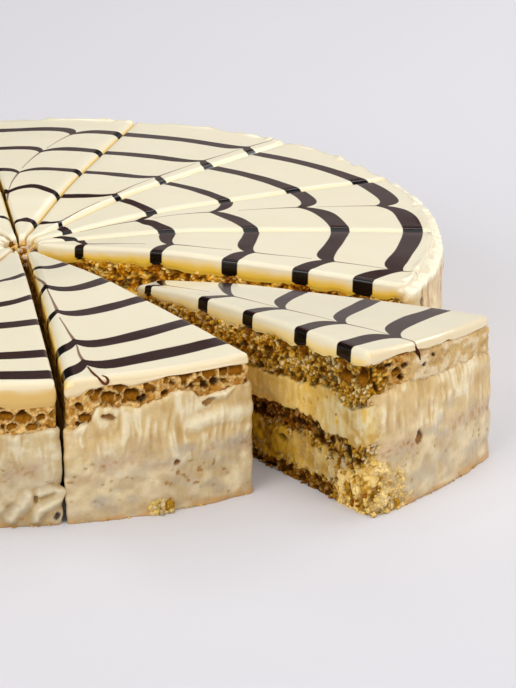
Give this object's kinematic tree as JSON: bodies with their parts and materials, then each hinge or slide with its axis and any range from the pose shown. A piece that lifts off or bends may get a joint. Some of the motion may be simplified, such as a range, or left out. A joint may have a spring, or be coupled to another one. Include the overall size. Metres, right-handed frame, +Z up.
{
  "type": "sliced layered nut cake",
  "caption": "Round layered nut cake with ivory glaze and a feathered chocolate web, cut into wedges, with a wedge drawn part of the way out to show sponge and cream.",
  "frame": {"origin": "middle of the footprint's box, on the bottom plane that the cake rests on", "axes": "+Z up; +Y away from the viewer of the reference view; the drawn wedge leaves towards +X and -Y"},
  "size_m": [0.2938, 0.2814, 0.0525],
  "materials": {
    "sponge": "golden-brown nut sponge, open matt crumb",
    "cream": "pale buttercream, soft satin",
    "glaze": "ivory poured glaze with feathered chocolate lines, glossy"
  },
  "bodies": {
    "root": {"slice_01_base": "sponge", "slice_01_filling": "cream", "slice_01_sponge_top": "sponge", "slice_01_glaze": "glaze", "slice_02_base": "sponge", "slice_02_filling": "cream", "slice_02_sponge_top": "sponge", "slice_02_glaze": "glaze", "slice_03_base": "sponge", "slice_03_filling": "cream", "slice_03_sponge_top": "sponge", "slice_03_glaze": "glaze", "slice_04_base": "sponge", "slice_04_filling": "cream", "slice_04_sponge_top": "sponge", "slice_04_glaze": "glaze", "slice_05_base": "sponge", "slice_05_filling": "cream", "slice_05_sponge_top": "sponge", "slice_05_glaze": "glaze", "slice_06_base": "sponge", "slice_06_filling": "cream", "slice_06_sponge_top": "sponge", "slice_06_glaze": "glaze", "slice_07_base": "sponge", "slice_07_filling": "cream", "slice_07_sponge_top": "sponge", "slice_07_glaze": "glaze", "slice_08_base": "sponge", "slice_08_filling": "cream", "slice_08_sponge_top": "sponge", "slice_08_glaze": "glaze", "slice_09_base": "sponge", "slice_09_filling": "cream", "slice_09_sponge_top": "sponge", "slice_09_glaze": "glaze", "slice_10_base": "sponge", "slice_10_filling": "cream", "slice_10_sponge_top": "sponge", "slice_10_glaze": "glaze", "slice_11_base": "sponge", "slice_11_filling": "cream", "slice_11_sponge_top": "sponge", "slice_11_glaze": "glaze", "slice_12_base": "sponge", "slice_12_filling": "cream", "slice_12_sponge_top": "sponge", "slice_12_glaze": "glaze", "slice_13_base": "sponge", "slice_13_filling": "cream", "slice_13_sponge_top": "sponge", "slice_13_glaze": "glaze", "drawn_base": "sponge", "drawn_cream_lower": "cream", "drawn_sponge_middle": "sponge", "drawn_cream_upper": "cream", "drawn_sponge_top": "sponge", "drawn_glaze": "glaze"}
  },
  "joints": []
}
